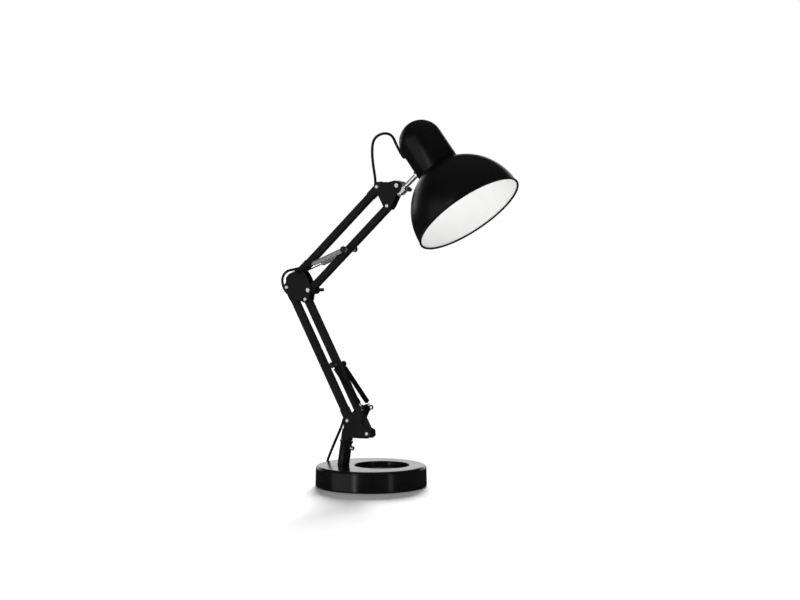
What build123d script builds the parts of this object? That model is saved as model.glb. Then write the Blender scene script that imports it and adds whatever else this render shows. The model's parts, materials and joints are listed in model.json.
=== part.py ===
from build123d import *
import os
from math import cos, hypot, pi, radians, sin, sqrt, tan

# Swing arm desk lamp, millimetres. Z is up, the table is z = 0, and the origin is the middle of the
# base's underside. The two arms swing in one upright plane, parallel to XZ, with the head towards +X.

# ---------- driving dimensions ----------
base_radius = 75.0
base_height = 28.0
base_turn = 31.0            # degrees from +X to the line through the post and the tray
post_offset = 37.5          # from the middle of the base to the post's foot
tray_offset = 14.3          # from the middle of the base to the middle of the tray
tray_radius = 37.0
tray_depth = 6.0
shell_wall = 2.0
pad_thickness = 1.5
bottom_plate_thickness = 1.0
post_radius = 8.0
post_bore = 6.0
post_length = 34.0
post_lean = 9.1             # degrees from upright, towards +X
running_gap = 0.05          # radial clearance of a shaft in its hole
side_gap = 0.3              # between faces that slide or pass each other

tube_width = 8.8
tube_wall = 0.8
tube_overhang = 4.5         # a tube runs on past its pivot by this much
sleeve_width = 10.0
sleeve_reach = 18.0         # a sleeve runs from the tube's end to this far past the pivot
plate_thickness = 1.2
plate_inner = 5.3           # from the arm plane to a bracket plate's inner face
plate_outer = plate_inner + plate_thickness
rivet_radius = 2.0
rivet_head_radius = 2.8
rivet_head_height = 1.3

lower_arm_length = 203.0
lower_arm_angle = 119.1     # degrees from +X, counted upwards
lower_link = (30.8, -15.8)  # from a left pivot of the lower arm to the right one
upper_arm_length = 168.0
upper_arm_angle = 41.8
upper_link = (15.6, -25.2)
elbow_step = (20.0, 21.7)   # from the lower arm's left top pivot to the upper arm's left pivot
head_step = (30.6, 1.0)     # from the upper arm's left top pivot to the tilt pivot

spring_wire = 0.8
spring_lead_in = 5.2        # from the pin to the first turn
lower_spring_radius, lower_spring_body = 3.6, 58.8
upper_spring_radius, upper_spring_body = 3.3, 49.0
spring_side = 10.6          # from the arm plane to a spring's axis
pin_radius = 1.8
pin_reach = 16.0
knob_radius = 4.2
knob_height = 3.0
lower_pin_at = 103.0        # along the right tube from its pivot
upper_pin_at = 83.0
lower_hook_step = (26.6, 17.8)

shade_radius = 73.3
shade_height = 78.5         # the semi-axis of the shade's elliptical outline
shade_wall = 0.9
shade_bead = 1.5
cup_radius = 29.0
cup_length = 46.0
cup_wall = 1.0
shade_turn = -53.1          # degrees from +X to the way the shade faces
rod_radius = 3.2
rod_offset = 7.1            # from the tilt pivot to the rod's axis
socket_radius = 13.3        # screw socket for a 27 mm bulb cap
socket_depth = 26.0
holder_radius = 22.0
holder_neck = 20.0

cord_diameter = 3.6
cord_radius = cord_diameter / 2
coil_turn_radius = 19.0     # to the middle of the turns
coil_across = 4             # the ring is this many cord diameters wide
coil_layers = 4
coil_turns = 12.0           # three in each layer
tie_thickness = 0.8

plug_width, plug_height, plug_length = 35.0, 13.6, 34.0
plug_pin_radius, plug_pin_length, plug_pin_spacing = 2.0, 19.0, 18.6
switch_length, switch_width, switch_height = 46.0, 15.5, 11.5


# ---------- helpers ----------
def step(point, angle, run, rise=0.0):
    """The point at run along the direction of angle, and rise to its left."""
    c, s = cos(radians(angle)), sin(radians(angle))
    return (point[0] + run * c - rise * s, point[1] + run * s + rise * c)


def moved(point, shift):
    return (point[0] + shift[0], point[1] + shift[1])


def save(piece, label):
    piece.part.label = label
    export_step(piece.part, f"parts/{label}.step")


def on_base(right, back, height=0.0):
    """A place on or by the base, counted along the line of post and tray and square to it."""
    x, y = step((0.0, 0.0), base_turn, right, back)
    return (x, y, height)


# ---------- places ----------
post_foot = on_base(-post_offset, 0)
arm_y = post_foot[1]
arm = Plane.XZ.offset(-arm_y)           # its offsets count towards -Y, the near side


def in_arm(point, side=0.0):
    """A point of the arm plane in space, side millimetres towards the far side."""
    return (point[0], arm_y + side, point[1])


post_axis_angle = 90.0 - post_lean
post_top = step((post_foot[0], base_height), post_axis_angle, post_length)
pivot_a0 = moved(post_top, (5.3, 27.1))
pivot_b0 = moved(pivot_a0, lower_link)
pivot_a1 = step(pivot_a0, lower_arm_angle, lower_arm_length)
pivot_b1 = moved(pivot_a1, lower_link)
pivot_c0 = moved(pivot_a1, elbow_step)
pivot_d0 = moved(pivot_c0, upper_link)
pivot_c1 = step(pivot_c0, upper_arm_angle, upper_arm_length)
pivot_d1 = moved(pivot_c1, upper_link)
tilt_pivot = moved(pivot_c1, head_step)

rod_angle = shade_turn + 90.0 + 3.5
rod_foot = step(tilt_pivot, rod_angle, 0.0, -rod_offset)
cup_centre = (89.0, 456.4)
lower_pin = step(pivot_b0, lower_arm_angle, lower_pin_at)
upper_pin = step(pivot_d0, upper_arm_angle, upper_pin_at)
lower_hook = moved(pivot_a0, lower_hook_step)

os.makedirs("parts", exist_ok=True)

# ---------- base ----------
weight_top = base_height - tray_depth - shell_wall - side_gap
shell_bottom = pad_thickness + bottom_plate_thickness
tray_centre = on_base(tray_offset, 0)[:2]
stud_place = (post_foot[0], post_foot[1])
stud_radius = 4.0
screw_radius = 1.5
screw_ring = 60.0
screw_angle = 75.0          # where the first of three bottom screws sits

with BuildPart() as shell:
    with BuildSketch(Plane.XY.offset(pad_thickness)):
        Circle(base_radius)
    extrude(amount=base_height - pad_thickness, taper=1.2)
    fillet(shell.edges().group_by(Axis.Z)[-1], radius=4.2)
    with BuildSketch(Plane.XY.offset(base_height)):
        with Locations(tray_centre):
            Circle(tray_radius)
    extrude(amount=-tray_depth, mode=Mode.SUBTRACT)
    tray_edges = shell.edges().filter_by(GeomType.CIRCLE).group_by(Axis.Z)[-1]
    fillet(tray_edges.sort_by(lambda e: e.radius)[0], radius=1.0)
    with BuildSketch(Plane.XY.offset(pad_thickness)):
        Circle(base_radius - shell_wall)
    extrude(amount=weight_top + side_gap - pad_thickness, mode=Mode.SUBTRACT)
    with BuildSketch(Plane.XY.offset(weight_top)):
        Circle(base_radius - shell_wall - 1.5)
        with Locations(tray_centre):
            Circle(tray_radius + shell_wall, mode=Mode.SUBTRACT)
    extrude(amount=base_height - shell_wall - weight_top, mode=Mode.SUBTRACT)
    with Locations((*stud_place, base_height)):
        Cylinder(stud_radius + 0.1, 4 * shell_wall, mode=Mode.SUBTRACT)
save(shell, "base_shell")

with BuildPart() as weight:
    with BuildSketch(Plane.XY.offset(shell_bottom)):
        Circle(base_radius - shell_wall - 0.5)
        with Locations(stud_place):
            Circle(stud_radius + 0.1, mode=Mode.SUBTRACT)
        with PolarLocations(screw_ring, 3, screw_angle):
            Circle(screw_radius + 0.1, mode=Mode.SUBTRACT)
    extrude(amount=weight_top - shell_bottom)
    with BuildSketch(Plane.XY.offset(shell_bottom)):
        with Locations(stud_place):
            Circle(9.0)
    extrude(amount=6.0, mode=Mode.SUBTRACT)
save(weight, "base_weight")

with BuildPart() as bottom_plate:
    with BuildSketch(Plane.XY.offset(pad_thickness)):
        Circle(base_radius - shell_wall - 0.4)
        with PolarLocations(screw_ring, 3, screw_angle):
            Circle(screw_radius + 0.1, mode=Mode.SUBTRACT)
    extrude(amount=bottom_plate_thickness)
save(bottom_plate, "base_bottom_plate")

with BuildPart() as pad:
    with BuildSketch():
        Circle(base_radius - shell_wall)
        with PolarLocations(screw_ring, 3, screw_angle):
            Circle(3.4, mode=Mode.SUBTRACT)
    extrude(amount=pad_thickness)
save(pad, "base_pad")

with BuildPart() as base_screws:
    with PolarLocations(screw_ring, 3, screw_angle):
        with Locations((0, 0, pad_thickness)):
            Cylinder(screw_radius, 10.0, align=(Align.CENTER, Align.CENTER, Align.MIN))
            Cylinder(3.0, 1.2, align=(Align.CENTER, Align.CENTER, Align.MAX))
save(base_screws, "base_screws")

# ---------- post ----------
post_plane = Plane(origin=(post_foot[0], arm_y, base_height), x_dir=(0, 1, 0),
                   z_dir=(sin(radians(post_lean)), 0, cos(radians(post_lean))))
screw_height = 25.2         # of the thumb screw, along the post
thumb_screw_radius = 2.0
lip_height = 2.2

with BuildPart() as post:
    with BuildSketch(post_plane.offset(-4.0)):
        Circle(post_radius)
        Circle(post_bore, mode=Mode.SUBTRACT)
    extrude(amount=post_length + 4.0)
    with BuildSketch(post_plane.offset(post_length - lip_height)):
        Circle(post_radius + 0.9)
        Circle(post_radius - 1.0, mode=Mode.SUBTRACT)
    extrude(amount=lip_height)
    fillet(post.edges().filter_by(GeomType.CIRCLE).sort_by(lambda e: e.radius)[-2:], radius=0.4)
    split(bisect_by=Plane.XY.offset(base_height), keep=Keep.TOP)
    with Locations(post_plane.offset(screw_height)):
        with Locations(Location((0, 0, 0), (90, 0, 0))):
            Cylinder(thumb_screw_radius + running_gap, 12.0, mode=Mode.SUBTRACT,
                     align=(Align.CENTER, Align.CENTER, Align.MIN))
save(post, "post_tube")

with BuildPart() as stud:
    with Locations((*stud_place, shell_bottom + 1.0)):
        Cylinder(stud_radius, base_height - shell_bottom - 1.0,
                 align=(Align.CENTER, Align.CENTER, Align.MIN))
save(stud, "post_stud")

with BuildPart() as nut:
    with BuildSketch(Plane.XY.offset(shell_bottom + 1.6)):
        with Locations(stud_place):
            RegularPolygon(7.5, 6)
            Circle(stud_radius, mode=Mode.SUBTRACT)
    extrude(amount=4.2)
save(nut, "post_nut")

with BuildPart() as thumb_screw:
    with Locations(post_plane.offset(screw_height)):
        with Locations(Location((0, 0, 0), (90, 0, 0))):
            with Locations((0, 0, post_bore + 0.2)):
                Cylinder(thumb_screw_radius, 4.0, align=(Align.CENTER, Align.CENTER, Align.MIN))
            with Locations((0, 0, post_radius + side_gap)):
                Cylinder(3.0, 4.2, align=(Align.CENTER, Align.CENTER, Align.MIN))
    fillet(thumb_screw.edges().filter_by(GeomType.CIRCLE).filter_by(
        lambda e: abs(e.radius - 3.0) < 0.01), radius=0.6)
save(thumb_screw, "post_thumb_screw")


# ---------- brackets ----------
def plates(label, pivots, outline, corner=1.8):
    """A near and a far plate of one outline, with a hole for each rivet."""
    for side, first in (("near", plate_inner), ("far", -plate_outer)):
        with BuildPart() as plate:
            with BuildSketch(arm.offset(first)) as face:
                with BuildLine():
                    Polyline(*outline, close=True)
                make_face()
                fillet(face.vertices(), radius=corner)
                with Locations(*pivots):
                    Circle(rivet_radius, mode=Mode.SUBTRACT)
            extrude(amount=plate_thickness)
        save(plate, f"{label}_{side}")


def rivets(label, points):
    """Rivets across both plates, with a domed head outside each."""
    with BuildPart() as group:
        for point in points:
            with Locations(Location(in_arm(point), (90, 0, 0))):
                Cylinder(rivet_radius, 2 * plate_outer)
            for turn in (90, -90):
                with Locations(Location(in_arm(point), (turn, 0, 0))):
                    with Locations((0, 0, plate_outer)):
                        Cylinder(rivet_head_radius, rivet_head_height,
                                 align=(Align.CENTER, Align.CENTER, Align.MIN))
        outer = group.edges().filter_by(GeomType.CIRCLE).filter_by(
            lambda e: abs(abs(e.center().Y - arm_y) - plate_outer - rivet_head_height) < 0.01)
        fillet(outer, radius=rivet_head_height - 0.2)
    save(group, label)


def around(origin, offsets):
    return [moved(origin, offset) for offset in offsets]


plates("base_bracket", [pivot_a0, pivot_b0], around(pivot_a0, [
    (-6.0, -22.7), (-6.0, 4.5), (-3.0, 8.0), (4.5, 9.2), (18.5, 21.0), (24.0, 23.0), (28.0, 15.5),
    (22.8, 4.0), (22.8, -5.0), (36.0, -11.0), (37.0, -18.5), (32.5, -22.2), (20.0, -22.7)]))
rivets("base_bracket_rivets", [pivot_a0, pivot_b0])

block_height = 15.0
spigot_length = 27.0
with BuildPart() as spigot:
    with BuildSketch(post_plane.offset(post_length - spigot_length)):
        Circle(post_bore - running_gap)
    extrude(amount=spigot_length + side_gap)
    with BuildSketch(post_plane.offset(post_length + side_gap)):
        Rectangle(2 * plate_inner, 12.0)
    extrude(amount=block_height)
save(spigot, "swivel_spigot")

# a spring hook stands out from each ear of the base bracket and curls over at its end
hook_thickness = 1.6
with BuildPart() as hooks:
    for side in (-1, 1):
        with BuildSketch(arm.offset(side * (spring_side + 0.2) - hook_thickness / 2)):
            with Locations(lower_hook):
                Circle(3.4)
                Circle(1.8, mode=Mode.SUBTRACT)
                with Locations((0.2, -2.6)):
                    Rectangle(1.8, 3.0, mode=Mode.SUBTRACT)
            with Locations(moved(lower_hook, (-4.6, -3.6))):
                Rectangle(5.5, 4.6, rotation=35)
        extrude(amount=hook_thickness)
        with BuildSketch(arm.offset(plate_outer if side > 0 else -spring_side - 0.2)):
            with Locations(moved(lower_hook, (-5.4, -4.4))):
                Rectangle(4.0, 3.4, rotation=35)
        extrude(amount=spring_side + 0.2 - plate_outer)
save(hooks, "lower_spring_hooks")

plates("elbow_plate", [pivot_a1, pivot_b1, pivot_c0, pivot_d0], around(pivot_a1, [
    (-5.8, -2.5), (-4.8, 3.2), (-1.4, 6.2), (-1.2, 13.0), (3.4, 18.2), (13.6, 22.6), (18.5, 26.2),
    (24.5, 25.2), (31.0, 17.5), (37.0, 7.0), (40.8, -1.0), (38.2, -7.0), (36.4, -17.5),
    (30.8, -21.2), (22.0, -18.2), (7.0, -17.3), (-1.0, -5.5)], ))
rivets("elbow_rivets", [pivot_a1, pivot_b1])

plates("head_plate", [pivot_c1, pivot_d1, tilt_pivot], around(pivot_c1, [
    (-5.2, -3.0), (-4.6, 3.4), (0.0, 6.6), (7.8, 6.8), (11.0, 5.6), (17.0, 5.6), (27.5, 7.8),
    (35.0, 6.2), (37.6, 0.5), (35.6, -5.0), (29.4, -12.4), (22.0, -26.0), (18.6, -30.2),
    (12.0, -30.2), (9.4, -25.5), (2.3, -12.4), (-3.4, -6.4)], ))
rivets("head_rivets", [pivot_c1, pivot_d1])


def cross_bolt(label, point, near, far, head=True):
    """A bolt along Y through both plates, from near to far millimetres each side of the arm plane."""
    with BuildPart() as bolt:
        with Locations(Location(in_arm(point, -near), (-90, 0, 0))):
            Cylinder(rivet_radius, near + far, align=(Align.CENTER, Align.CENTER, Align.MIN))
        if head:
            with Locations(Location(in_arm(point), (90, 0, 0))):
                with Locations((0, 0, plate_outer)):
                    Cylinder(rivet_head_radius, rivet_head_height,
                             align=(Align.CENTER, Align.CENTER, Align.MIN))
    save(bolt, label)


nut_gap = 0.4
wing_hub_height = 7.0
bolt_end = plate_outer + nut_gap + wing_hub_height + 1.5


def wing_nut(label, point, wing_angle, wing_reach, wing_width, hub_radius):
    """A winged nut on a bolt's far end."""
    with BuildPart() as wing:
        with BuildSketch(arm.offset(-plate_outer - nut_gap)):
            with Locations(point):
                Circle(hub_radius)
                Circle(rivet_radius + running_gap, mode=Mode.SUBTRACT)
        extrude(amount=-wing_hub_height)
        with BuildSketch(arm.offset(-plate_outer - nut_gap - 2.0)):
            for turn in (0.0, 180.0):
                middle = step(point, wing_angle + turn, (hub_radius - 0.8 + wing_reach) / 2)
                with Locations(middle):
                    SlotOverall(wing_reach - hub_radius + 0.8, wing_width, rotation=wing_angle)
        extrude(amount=-wing_hub_height)
    save(wing, label)


cross_bolt("elbow_bolt", pivot_d0, plate_outer, bolt_end)
wing_nut("elbow_wing_nut", pivot_d0, 2.0, 11.5, 4.6, 5.8)
cross_bolt("tilt_bolt", tilt_pivot, plate_outer, bolt_end)
wing_nut("tilt_wing_nut", tilt_pivot, -33.0, 11.5, 5.0, 4.6)
axle_reach = spring_side + 2.6
cross_bolt("upper_spring_axle", pivot_c0, axle_reach, axle_reach, head=False)


# ---------- tubes of the arms ----------
slot_half = 3.1             # half of a cord slot's width across the tube


def cord_slots(start, angle, slots):
    """Cutters for cord slots in a tube's left side, each from one distance along it to another."""
    with BuildPart() as cutters:
        for first, last in slots:
            with BuildSketch(arm.offset(-slot_half)):
                with Locations(step(start, angle, (first + last) / 2, sleeve_width / 2)):
                    Rectangle(last - first, sleeve_width, rotation=angle)
            extrude(amount=2 * slot_half)
    return cutters.part


def tube(label, start, angle, length, slots=(), pin_at=None):
    """A square tube between two pivots; a slot lets the cord out of its left side."""
    middle = step(start, angle, length / 2)
    cutters = cord_slots(start, angle, slots) if slots else None
    with BuildPart() as bar:
        with BuildSketch(arm.offset(-tube_width / 2)) as outline:
            with Locations(middle):
                Rectangle(length + 2 * tube_overhang, tube_width, rotation=angle)
            fillet(outline.vertices(), radius=1.0)
        extrude(amount=tube_width)
        inside = tube_width / 2 - tube_wall
        with BuildSketch(arm.offset(-inside)):
            with Locations(middle):
                Rectangle(length + 4 * tube_overhang, 2 * inside, rotation=angle)
        extrude(amount=2 * inside, mode=Mode.SUBTRACT)
        if cutters:
            add(cutters, mode=Mode.SUBTRACT)
        for along in (0.0, length):
            with Locations(Location(in_arm(step(start, angle, along)), (90, 0, 0))):
                Cylinder(rivet_radius + running_gap, 2 * tube_width, mode=Mode.SUBTRACT)
        if pin_at:
            with Locations(Location(in_arm(step(start, angle, pin_at)), (90, 0, 0))):
                Cylinder(pin_radius, 2 * tube_width, mode=Mode.SUBTRACT)
    save(bar, label)


def sleeves(label, start, angle, length, slots):
    """A square sleeve over each end of a tube."""
    cutters = cord_slots(start, angle, slots)
    with BuildPart() as pair:
        reach = sleeve_reach + tube_overhang
        for along in (sleeve_reach - reach / 2, length - sleeve_reach + reach / 2):
            with BuildSketch(arm.offset(-sleeve_width / 2)):
                with Locations(step(start, angle, along)):
                    Rectangle(reach, sleeve_width, rotation=angle)
            extrude(amount=sleeve_width)
        with BuildSketch(arm.offset(-tube_width / 2)):
            with Locations(step(start, angle, length / 2)):
                Rectangle(length + 4 * tube_overhang, tube_width, rotation=angle)
        extrude(amount=tube_width, mode=Mode.SUBTRACT)
        add(cutters, mode=Mode.SUBTRACT)
        for along in (0.0, length):
            with Locations(Location(in_arm(step(start, angle, along)), (90, 0, 0))):
                Cylinder(rivet_radius + running_gap, 2 * tube_width, mode=Mode.SUBTRACT)
    save(pair, label)


lower_slots = [(-tube_overhang - 1.0, 24.0), (lower_arm_length - 25.0, lower_arm_length - 3.0)]
upper_slots = [(-tube_overhang - 1.0, 22.0), (upper_arm_length - 20.0, upper_arm_length - 0.5)]
tube("lower_left_tube", pivot_a0, lower_arm_angle, lower_arm_length, slots=lower_slots)
sleeves("lower_left_sleeves", pivot_a0, lower_arm_angle, lower_arm_length, lower_slots)
tube("lower_right_tube", pivot_b0, lower_arm_angle, lower_arm_length, pin_at=lower_pin_at)
tube("upper_left_tube", pivot_c0, upper_arm_angle, upper_arm_length, slots=upper_slots)
sleeves("upper_left_sleeves", pivot_c0, upper_arm_angle, upper_arm_length, upper_slots)
tube("upper_right_tube", pivot_d0, upper_arm_angle, upper_arm_length, pin_at=upper_pin_at)


# ---------- springs and their pins ----------
def spring_pin(label, point):
    with BuildPart() as pin:
        with Locations(Location(in_arm(point), (90, 0, 0))):
            Cylinder(pin_radius, 2 * (pin_reach - knob_height))
    save(pin, f"{label}_pin")
    with BuildPart() as knobs:
        for turn in (90, -90):
            with Locations(Location(in_arm(point), (turn, 0, 0))):
                with Locations((0, 0, pin_reach - knob_height)):
                    Cylinder(knob_radius, knob_height,
                             align=(Align.CENTER, Align.CENTER, Align.MIN))
        fillet(knobs.edges(), radius=0.7)
    save(knobs, f"{label}_knobs")


def springs(label, pin, hook, pin_gap, hook_gap, radius, body):
    """The room a pair of springs takes: round bodies, each with a wire to the pin and one to the hook."""
    length = hypot(hook[0] - pin[0], hook[1] - pin[1])
    way = ((hook[0] - pin[0]) / length, 0, (hook[1] - pin[1]) / length)
    with BuildPart() as pair:
        for side in (-spring_side, spring_side):
            axis = Plane(origin=in_arm(pin, side), x_dir=(0, 1, 0), z_dir=way)
            with BuildSketch(axis.offset(pin_gap)):
                Circle(spring_wire)
            extrude(amount=length - pin_gap - hook_gap)
            with BuildSketch(axis.offset(spring_lead_in)):
                Circle(radius)
            extrude(amount=body)
    save(pair, label)


for name, pin_point, hook_point, hook_gap, radius, body in (
        ("lower_spring", lower_pin, lower_hook, 3.7, lower_spring_radius, lower_spring_body),
        ("upper_spring", upper_pin, pivot_c0, 2.3, upper_spring_radius, upper_spring_body)):
    spring_pin(name, pin_point)
    springs(f"{name}s", pin_point, hook_point, pin_radius + 0.3, hook_gap, radius, body)

# ---------- head ----------
knuckle_half = plate_inner - side_gap
knuckle_reach = 5.2
with BuildPart() as knuckle:
    with BuildSketch(arm.offset(-knuckle_half)):
        with Locations(tilt_pivot):
            Circle(6.0)
        with Locations(rod_foot):
            Rectangle(2 * knuckle_reach, 10.0, rotation=rod_angle)
        with Locations(step(tilt_pivot, rod_angle, 0.0, -rod_offset / 2)):
            Rectangle(2 * knuckle_reach, rod_offset, rotation=rod_angle)
    extrude(amount=2 * knuckle_half)
    with Locations(Location(in_arm(tilt_pivot), (90, 0, 0))):
        Cylinder(rivet_radius + running_gap, 20.0, mode=Mode.SUBTRACT)
    with Locations(Location(in_arm(rod_foot), (0, 90 - rod_angle, 0))):
        Cylinder(rod_radius + running_gap, 30.0, mode=Mode.SUBTRACT)
save(knuckle, "tilt_knuckle")

face_way = (cos(radians(shade_turn)), 0, sin(radians(shade_turn)))
head_plane = Plane(origin=in_arm(cup_centre), x_dir=(0, 1, 0), z_dir=face_way)
head_stand = step((0.0, 0.0), -shade_turn, rod_foot[0] - cup_centre[0], rod_foot[1] - cup_centre[1])[1]
rod_skew = rod_angle - shade_turn - 90.0
# along the rod from its foot to the cup's wall
wall_run = (-head_stand - cup_radius) / cos(radians(rod_skew))
rod_tail = knuckle_reach + side_gap + 3.0
rod_start = step(rod_foot, rod_angle, -rod_tail)
rod_plane = Plane(origin=in_arm(rod_start), x_dir=(0, 1, 0),
                  z_dir=(cos(radians(rod_angle)), 0, sin(radians(rod_angle))))
rod_inside = 4.4            # the rod runs on past the wall's outside by this much

with BuildPart() as rod:
    with BuildSketch(rod_plane):
        Circle(rod_radius)
    extrude(amount=rod_tail + wall_run + rod_inside)
save(rod, "head_rod")

with BuildPart() as cup:
    with BuildSketch(head_plane):
        Circle(cup_radius)
    extrude(amount=cup_length)
    with Locations(head_plane):
        Sphere(cup_radius)
        Sphere(cup_radius - cup_wall, mode=Mode.SUBTRACT)
    with BuildSketch(head_plane):
        Circle(cup_radius - cup_wall)
    extrude(amount=cup_length, mode=Mode.SUBTRACT)
    with BuildSketch(rod_plane.offset(rod_tail + wall_run - 6.0)):
        Circle(rod_radius)
    extrude(amount=12.0, mode=Mode.SUBTRACT)
save(cup, "socket_cup")

with BuildPart() as rod_fittings:
    with BuildSketch(rod_plane):
        Circle(rod_radius + 1.6)
        Circle(rod_radius, mode=Mode.SUBTRACT)
    extrude(amount=3.0)
    with BuildSketch(rod_plane.offset(rod_tail + knuckle_reach + side_gap)):
        Circle(rod_radius + 1.2)
        Circle(rod_radius, mode=Mode.SUBTRACT)
    extrude(amount=1.6)
    with BuildSketch(rod_plane.offset(rod_tail + wall_run - 2.4)):
        Circle(rod_radius + 2.2)
        Circle(rod_radius, mode=Mode.SUBTRACT)
    extrude(amount=2.2)
    with BuildSketch(rod_plane.offset(rod_tail + wall_run + cup_wall + 0.5)):
        RegularPolygon(rod_radius + 2.4, 6)
        Circle(rod_radius, mode=Mode.SUBTRACT)
    extrude(amount=2.4)
    add(cup.part, mode=Mode.SUBTRACT)
save(rod_fittings, "rod_collars_and_nuts")


def ellipse_radius(depth, wide, deep):
    """The radius of an elliptical bowl at a distance from its rim."""
    return wide * sqrt(1 - (depth / deep) ** 2)


shade_rim_at = 117.7        # along the head's axis from the middle of the cup's dome
bowl_depth = shade_rim_at - cup_length
neck_radius = ellipse_radius(bowl_depth, shade_radius, shade_height)
inner_wide, inner_deep = shade_radius - shade_wall, shade_height - shade_wall
inner_depth = bowl_depth - 1.4
inner_neck = ellipse_radius(inner_depth, inner_wide, inner_deep)
bowl_points = 7


def bowl(wide, deep, depth):
    """Points of a bowl's outline from the rim to its neck, as radius and place on the head's axis."""
    return [(ellipse_radius(depth * i / bowl_points, wide, deep), shade_rim_at - depth * i / bowl_points)
            for i in range(bowl_points + 1)]


profile_plane = Plane(origin=in_arm(cup_centre), x_dir=(0, 1, 0),
                      z_dir=(sin(radians(shade_turn)), 0, -cos(radians(shade_turn))))
up_the_axis = 1 if profile_plane.y_dir.dot(Vector(*face_way)) > 0 else -1


def axial(points):
    return [(radius, up_the_axis * place) for radius, place in points]


with BuildPart() as shade:
    with BuildSketch(profile_plane):
        with BuildLine():
            Spline(*axial(bowl(shade_radius, shade_height, bowl_depth)))
            Spline(*axial(bowl(inner_wide, inner_deep, inner_depth)))
            Polyline(*axial([(neck_radius, cup_length), (holder_neck + 0.3, cup_length),
                             (holder_neck + 0.3, shade_rim_at - inner_depth),
                             (inner_neck, shade_rim_at - inner_depth)]))
            Line(*axial([(shade_radius, shade_rim_at), (inner_wide, shade_rim_at)]))
        make_face()
        with Locations(axial([(shade_radius - shade_wall / 2, shade_rim_at)])[0]):
            Circle(shade_bead)
    revolve(axis=Axis(in_arm(cup_centre), face_way))
save(shade, "shade")

with BuildPart() as ring:
    with BuildSketch(head_plane.offset(shade_rim_at - inner_depth)):
        Circle(27.0)
        Circle(holder_neck, mode=Mode.SUBTRACT)
    extrude(amount=6.0)
    fillet(ring.edges().filter_by(GeomType.CIRCLE).sort_by(lambda e: e.radius)[-2:], radius=1.2)
save(ring, "shade_ring")

holder_end = 66.0
socket_start = holder_end - 2.0 - socket_depth
with BuildPart() as holder:
    with BuildSketch(head_plane.offset(6.0)):
        Circle(holder_radius)
    extrude(amount=cup_length - 6.0 - 0.2)
    with BuildSketch(head_plane.offset(cup_length - 0.2)):
        Circle(holder_neck)
    extrude(amount=holder_end - cup_length + 0.2)
    with BuildSketch(head_plane.offset(socket_start - 3.0)):
        Circle(socket_radius + 0.8)
    extrude(amount=socket_depth + 6.0, mode=Mode.SUBTRACT)
save(holder, "lampholder_body")

with BuildPart() as contacts:
    with BuildSketch(head_plane.offset(socket_start)):
        Circle(socket_radius + 0.8)
        Circle(socket_radius, mode=Mode.SUBTRACT)
    extrude(amount=socket_depth)
    with BuildSketch(head_plane.offset(socket_start - 3.0)):
        Circle(5.0)
    extrude(amount=2.0)
save(contacts, "lampholder_contacts")

# a short moulded elbow takes the cord into the side of the cup
elbow_place = 1.5           # along the head's axis
gland_radius = 2.3
gland_stand = cup_radius + 3.4
out_angle = shade_turn - 90.0
gland_end = step(step(cup_centre, shade_turn, elbow_place), out_angle, gland_stand)
gland_length = 11.5
gland_start = step(gland_end, shade_turn, -gland_length)
with BuildPart() as gland:
    with BuildSketch(Plane(origin=in_arm(gland_start), x_dir=(0, 1, 0), z_dir=face_way)):
        Circle(gland_radius)
    extrude(amount=gland_length)
    out_way = (cos(radians(out_angle)), 0, sin(radians(out_angle)))
    foot_middle = step(gland_end, shade_turn, -gland_radius)
    with BuildSketch(Plane(origin=in_arm(foot_middle), x_dir=(0, 1, 0), z_dir=out_way)):
        Circle(gland_radius)
    extrude(amount=-gland_stand + cup_radius + 0.1)
save(gland, "cord_gland")


# ---------- cords ----------
def turn_at(before, corner, after):
    """The angle in degrees by which a route turns at a corner."""
    return (Vector(*corner) - Vector(*before)).get_angle(Vector(*after) - Vector(*corner))


def cord(label, route):
    """A round cord along straight runs joined by the largest arcs that the runs have room for."""
    runs = [(Vector(*b) - Vector(*a)).length for a, b in zip(route, route[1:])]
    turns = [turn_at(*route[i:i + 3]) for i in range(len(runs) - 1)]
    radii = [0.45 * min(runs[i], runs[i + 1]) / tan(radians(turn / 2)) for i, turn in enumerate(turns)]
    with BuildPart() as piece:
        with BuildLine():
            line = FilletPolyline(*route, radius=radii)
        with BuildSketch(Plane(origin=line @ 0, z_dir=line % 0)):
            Circle(cord_radius)
        sweep()
    length = line.length
    print(label, "length", round(length, 1), "volume ratio",
          round(piece.part.volume / (pi * cord_radius ** 2 * length), 4),
          "runs", [round(r) for r in runs], "radii", [round(r, 1) for r in radii])
    save(piece, label)
    return length


floor = cord_radius + 0.05
run_start, run_end = 34.0, -26.0        # the straight run inside a tube, from its two pivots
upper_run_start, upper_run_end = 29.0, -22.0

switch_middle = on_base(-50.5, 120.0)
switch_turn = base_turn + 79.0
switch_in = (*step(switch_middle[:2], switch_turn, -switch_length / 2), switch_height / 2 + 0.2)
switch_out = (*step(switch_middle[:2], switch_turn, switch_length / 2), switch_height / 2 + 0.2)
coil_middle = on_base(0.0, 120.0)
coil_across_width = coil_across * cord_diameter
coil_high = coil_layers * cord_diameter
coil_bottom = tie_thickness + 0.1
plug_middle = on_base(50.0, 108.0)
plug_turn = base_turn - 90.0            # the way the pins point
plug_back = (*step(plug_middle[:2], plug_turn, -plug_length / 2), plug_height / 2)

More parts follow.
